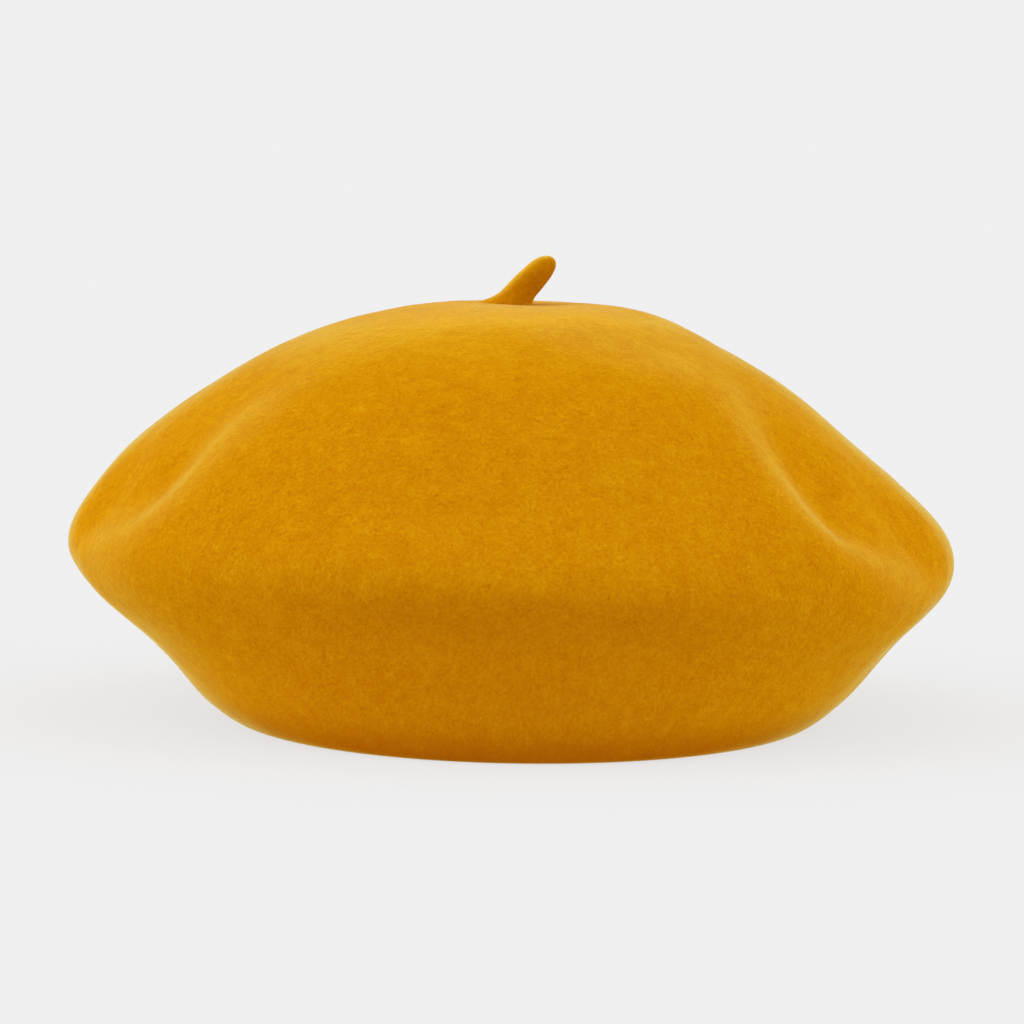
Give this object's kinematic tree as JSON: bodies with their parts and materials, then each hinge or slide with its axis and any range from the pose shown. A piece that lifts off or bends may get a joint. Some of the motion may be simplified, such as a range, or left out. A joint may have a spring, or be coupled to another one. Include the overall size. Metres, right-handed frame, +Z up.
{
  "type": "felt beret",
  "caption": "Wide soft felt beret with a short leaning stalk on top, a rolled lip, a ribbon sweatband and a blank label inside.",
  "frame": {"origin": "on the surface that the lip of the opening stands on, below the middle of the crown's rim", "axes": "+Z up through the crown; +X and -X to the sides, with the stalk leaning towards +X; -Y is the front"},
  "size_m": [0.2573, 0.244, 0.1335],
  "materials": {
    "wool_felt": "fulled wool felt",
    "ribbon": "ribbed grosgrain",
    "elastic": "woven elastic",
    "thread": "twisted thread",
    "label_cloth": "satin woven"
  },
  "bodies": {
    "band": {"felt_crown": "wool_felt", "hem_elastic": "elastic", "sweatband": "ribbon", "sweatband_stitches": "thread", "band_join_tab": "ribbon", "tab_stitches": "thread", "label_edge": "label_cloth", "label_stitches": "thread"},
    "crown_top": {"stalk_stitches": "thread"},
    "stalk": {"stalk": "wool_felt"},
    "label": {"label_flap": "label_cloth"}
  },
  "joints": [
    {"name": "crown_press", "type": "slide", "parent": "band", "child": "crown_top", "axis": [0, 0, -1], "range_m": [0, 0.072], "stiffness_N_per_m": 100, "deforming": ["felt_crown"]},
    {"name": "stalk_bend", "type": "hinge", "parent": "crown_top", "child": "stalk", "pos_m": [0.003, 0, 0.1232], "axis": [0, 1, 0], "range_deg": [-82, 28], "stiffness_Nm_per_rad": 0.006},
    {"name": "label_flip", "type": "hinge", "parent": "band", "child": "label", "pos_m": [-0.07288, -0.006, 0.0205], "axis": [0, -1, 0], "range_deg": [0, 145]}
  ]
}
